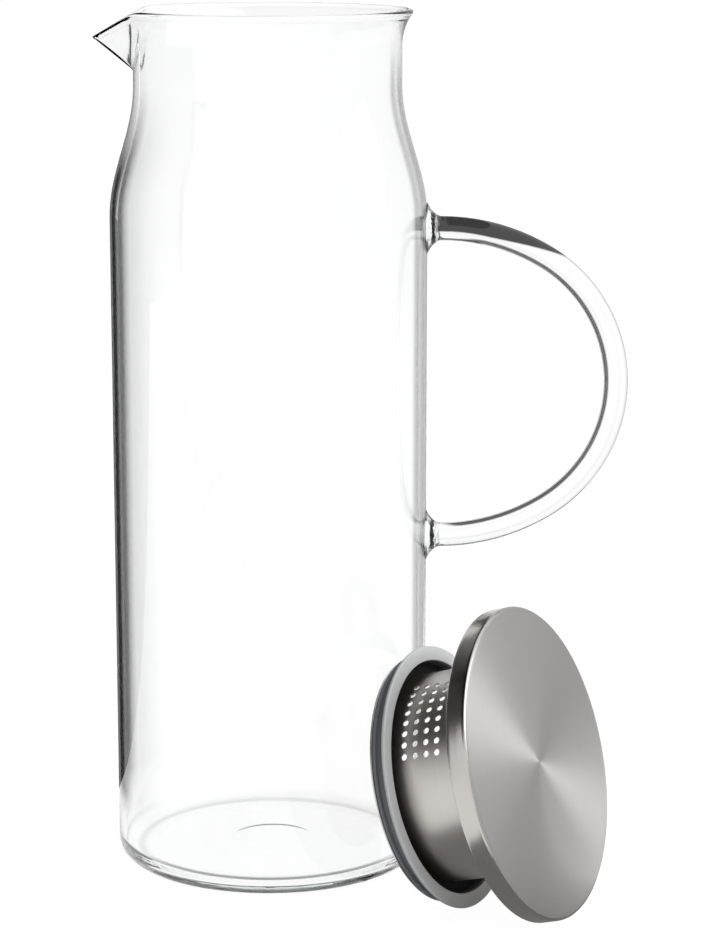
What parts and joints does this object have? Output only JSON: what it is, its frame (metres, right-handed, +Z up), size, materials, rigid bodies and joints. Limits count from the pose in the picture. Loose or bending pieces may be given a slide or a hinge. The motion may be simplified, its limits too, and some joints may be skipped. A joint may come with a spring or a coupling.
{
  "type": "glass pitcher with lid",
  "caption": "Tall clear glass pitcher with a pulled spout and a looped rod handle; its round steel lid with a perforated strainer tube and a soft gasket lies beside it.",
  "frame": {"origin": "middle of the foot, on the plane that the pitcher stands on", "axes": "+Z up along the pitcher's axis, -X towards the spout, +X towards the handle; the lid lies at +X, -Y"},
  "size_m": [0.1692, 0.155, 0.273],
  "materials": {
    "glass": "clear, fire-polished",
    "brushed_steel": "brushed, round on the cap's face",
    "silicone": "satin"
  },
  "bodies": {
    "pitcher": {"glass_body": "glass", "handle": "glass"},
    "gasket": {"gasket": "silicone"},
    "lid": {"lid_cap": "brushed_steel", "lid_liner": "brushed_steel", "strainer_tube": "brushed_steel", "retaining_ring": "brushed_steel"}
  },
  "joints": [
    {"name": "lid_lift", "type": "slide", "parent": "pitcher", "child": "gasket", "axis": [0, 0, 1], "range_m": [0, 0.3]},
    {"name": "lid_turn", "type": "hinge", "parent": "gasket", "child": "lid", "pos_m": [0.07811, -0.05886, 0.04635], "axis": [0.8647, -0.4218, 0.2726], "continuous": true}
  ]
}
